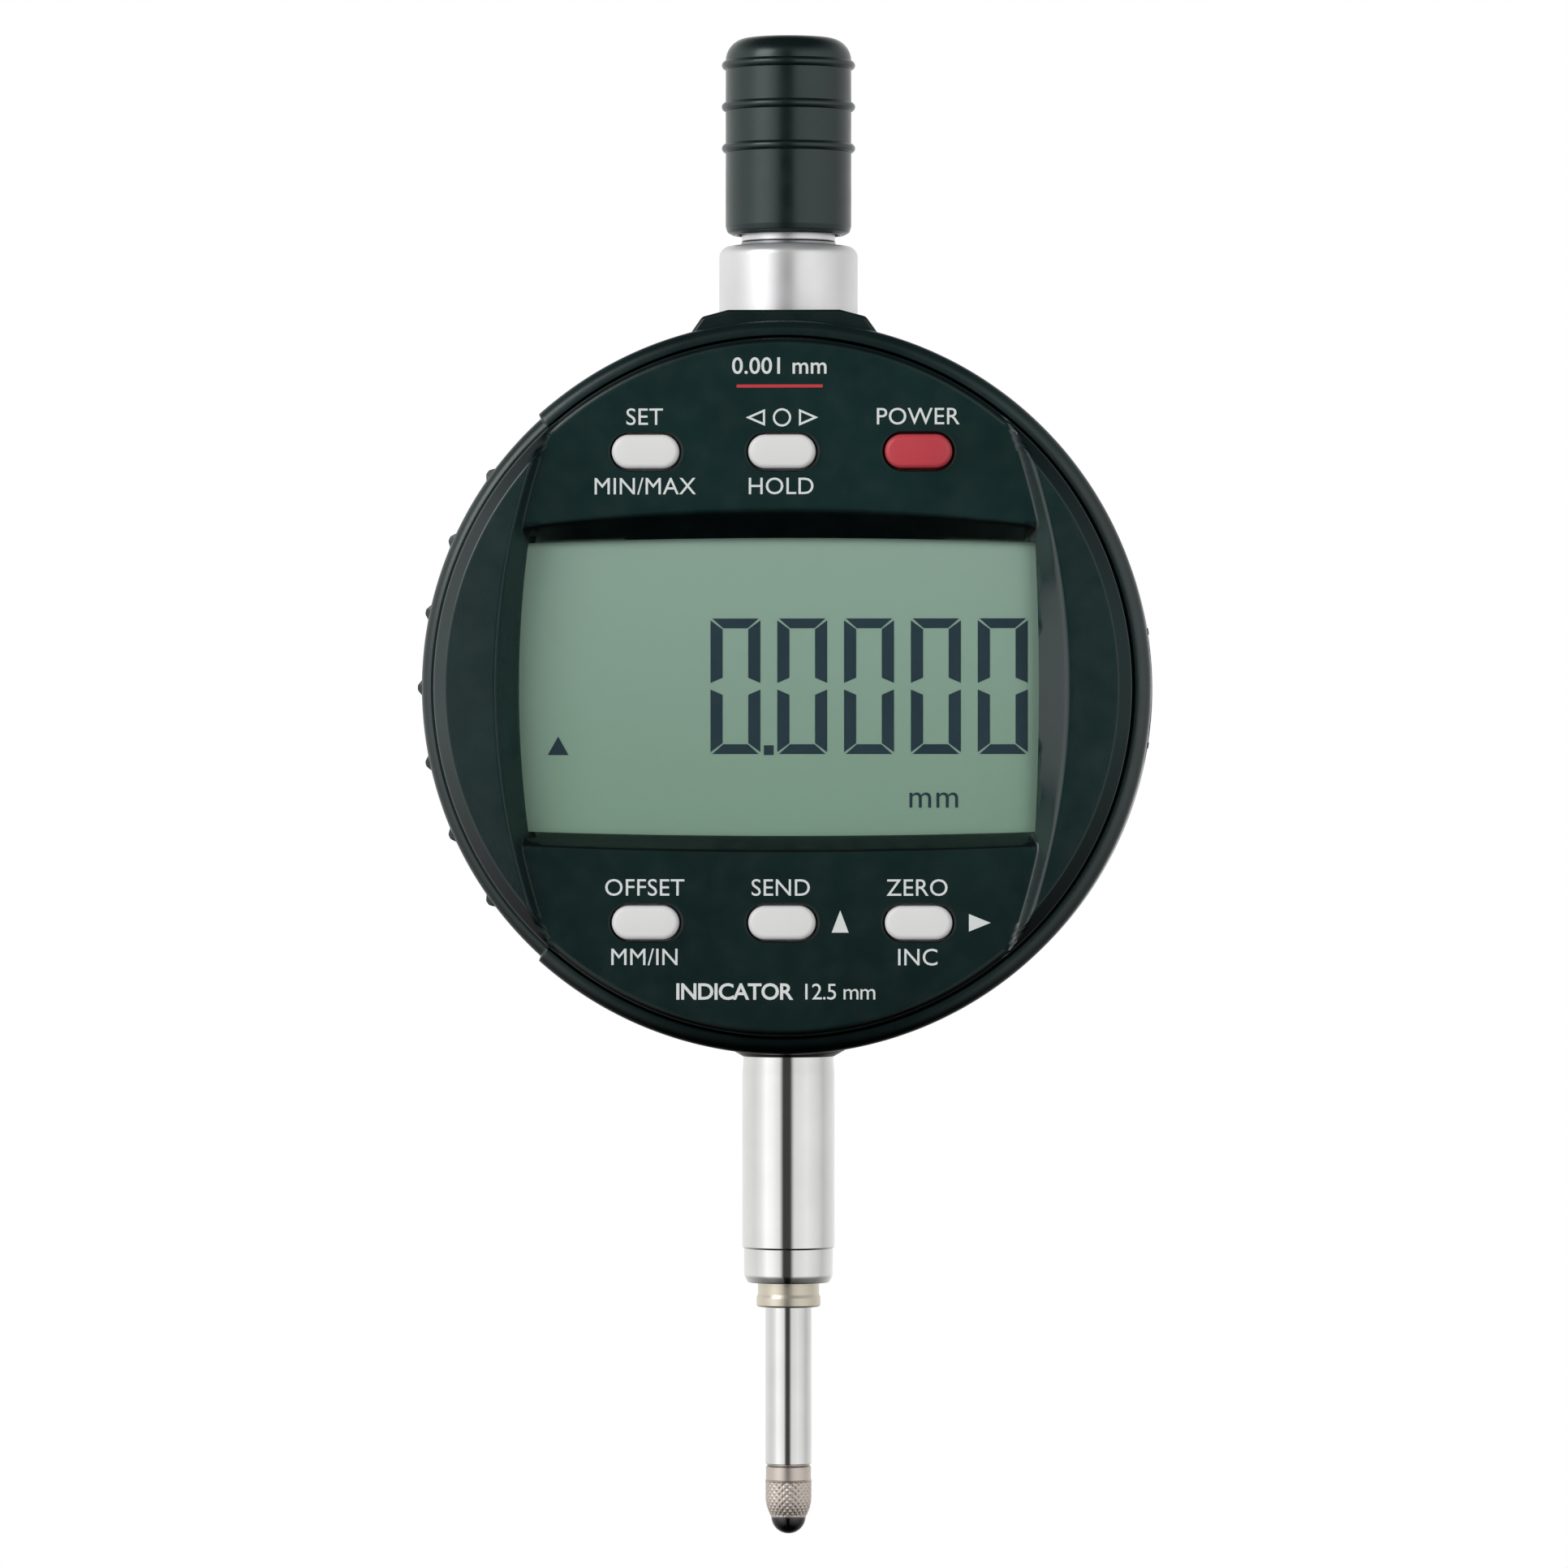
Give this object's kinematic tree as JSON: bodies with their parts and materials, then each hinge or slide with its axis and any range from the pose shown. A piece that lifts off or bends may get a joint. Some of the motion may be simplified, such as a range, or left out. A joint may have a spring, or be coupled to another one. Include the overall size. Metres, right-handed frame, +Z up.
{
  "type": "digital dial indicator",
  "caption": "Digital dial indicator with a turning round display unit, keys, a sprung measuring spindle with a ball contact, a lifting cap and a plain clamping stem.",
  "frame": {"origin": "on the spindle axis, inside the stem's clamping length, straight below the dial centre", "axes": "+Z up the spindle towards the lifting cap, the display faces -Y, +X to the reader's right"},
  "size_m": [0.063, 0.0213, 0.1297],
  "materials": {
    "case_plastic": "fine moulded texture, slightly glossy",
    "cover_plastic": "fine moulded texture, satin",
    "cap_plastic": "satin moulded plastic",
    "key_grey": "smooth keys with a soft sheen",
    "key_red": "smooth key with a soft sheen",
    "window": "clear moulded lens",
    "lcd_glass": "grey green reflective display",
    "frame_plastic": "moulded white plastic",
    "strip_rubber": "layered silicone",
    "circuit_board": "solder mask over glass fibre",
    "chip_plastic": "moulded epoxy",
    "silicone": "soft silicone",
    "rubber_black": "matt rubber",
    "chrome_steel": "ground and polished",
    "satin_steel": "satin turned finish",
    "hard_steel": "ground steel",
    "screw_steel": "plated screws",
    "spring_steel": "drawn wire",
    "knurled_steel": "knurled, bronze grey",
    "ball_carbide": "polished hard metal",
    "bush_brass": "pale turned brass",
    "chassis_metal": "stamped plate",
    "carrier_metal": "milled block",
    "scale_glass": "etched glass scale",
    "contact_metal": "gilded spring sheet",
    "cell_steel": "nickel plated can"
  },
  "bodies": {
    "case": {"housing": "case_plastic", "back_plate": "case_plastic", "back_gasket": "rubber_black", "back_screws": "screw_steel", "chassis_plate": "chassis_metal", "chassis_screws": "screw_steel", "mounting_stem": "chrome_steel", "stem_bush": "bush_brass", "buffer_washer": "rubber_black", "upper_collar": "satin_steel", "neck_ring": "spring_steel", "upper_neck": "satin_steel", "upper_bush": "bush_brass", "return_spring": "spring_steel", "encoder_board": "circuit_board", "read_head": "chip_plastic", "board_screws": "screw_steel", "data_socket": "chip_plastic", "battery_contacts": "contact_metal"},
    "spindle": {"spindle": "hard_steel", "stop_ring": "spring_steel", "scale_carrier": "carrier_metal", "carrier_screw": "screw_steel", "encoder_scale": "scale_glass", "guide_pin": "hard_steel", "contact_holder": "knurled_steel", "contact_ball": "ball_carbide", "lifting_cap": "cap_plastic", "cap_screw": "screw_steel"},
    "display_unit": {"front_cover": "cover_plastic", "display_window": "window", "lcd_panel": "lcd_glass", "lcd_frame": "frame_plastic", "lcd_strips": "strip_rubber", "main_board": "circuit_board", "keypad_mat": "silicone", "display_back": "case_plastic", "hub_clip": "spring_steel", "turn_seal": "rubber_black", "display_screws": "screw_steel"},
    "battery_drawer": {"battery_drawer": "case_plastic", "battery_cell": "cell_steel"},
    "data_cover": {"data_cover": "rubber_black"},
    "key_upper_left": {"key_upper_left": "key_grey"},
    "key_upper_middle": {"key_upper_middle": "key_grey"},
    "key_power": {"key_power": "key_red"},
    "key_lower_left": {"key_lower_left": "key_grey"},
    "key_lower_middle": {"key_lower_middle": "key_grey"},
    "key_lower_right": {"key_lower_right": "key_grey"}
  },
  "joints": [
    {"name": "spindle_slide", "type": "slide", "parent": "case", "child": "spindle", "axis": [0, 0, 1], "range_m": [0, 0.0125], "stiffness_N_per_m": 20, "springref_m": -0.0325, "deforming": ["return_spring"]},
    {"name": "display_turn", "type": "hinge", "parent": "case", "child": "display_unit", "pos_m": [0, 0, 0.04], "axis": [0, -1, 0], "range_deg": [-140, 140]},
    {"name": "drawer_slide", "type": "slide", "parent": "case", "child": "battery_drawer", "axis": [-1, 0, 0], "range_m": [0, 0.028]},
    {"name": "data_cover_pull", "type": "slide", "parent": "case", "child": "data_cover", "axis": [1, 0, 0], "range_m": [0, 0.008]},
    {"name": "key_upper_left_press", "type": "slide", "parent": "display_unit", "child": "key_upper_left", "axis": [0, 1, 0], "range_m": [0, 0.0005], "stiffness_N_per_m": 800, "springref_m": -0.0006},
    {"name": "key_upper_middle_press", "type": "slide", "parent": "display_unit", "child": "key_upper_middle", "axis": [0, 1, 0], "range_m": [0, 0.0005], "stiffness_N_per_m": 800, "springref_m": -0.0006},
    {"name": "key_power_press", "type": "slide", "parent": "display_unit", "child": "key_power", "axis": [0, 1, 0], "range_m": [0, 0.0005], "stiffness_N_per_m": 800, "springref_m": -0.0006},
    {"name": "key_lower_left_press", "type": "slide", "parent": "display_unit", "child": "key_lower_left", "axis": [0, 1, 0], "range_m": [0, 0.0005], "stiffness_N_per_m": 800, "springref_m": -0.0006},
    {"name": "key_lower_middle_press", "type": "slide", "parent": "display_unit", "child": "key_lower_middle", "axis": [0, 1, 0], "range_m": [0, 0.0005], "stiffness_N_per_m": 800, "springref_m": -0.0006},
    {"name": "key_lower_right_press", "type": "slide", "parent": "display_unit", "child": "key_lower_right", "axis": [0, 1, 0], "range_m": [0, 0.0005], "stiffness_N_per_m": 800, "springref_m": -0.0006}
  ]
}
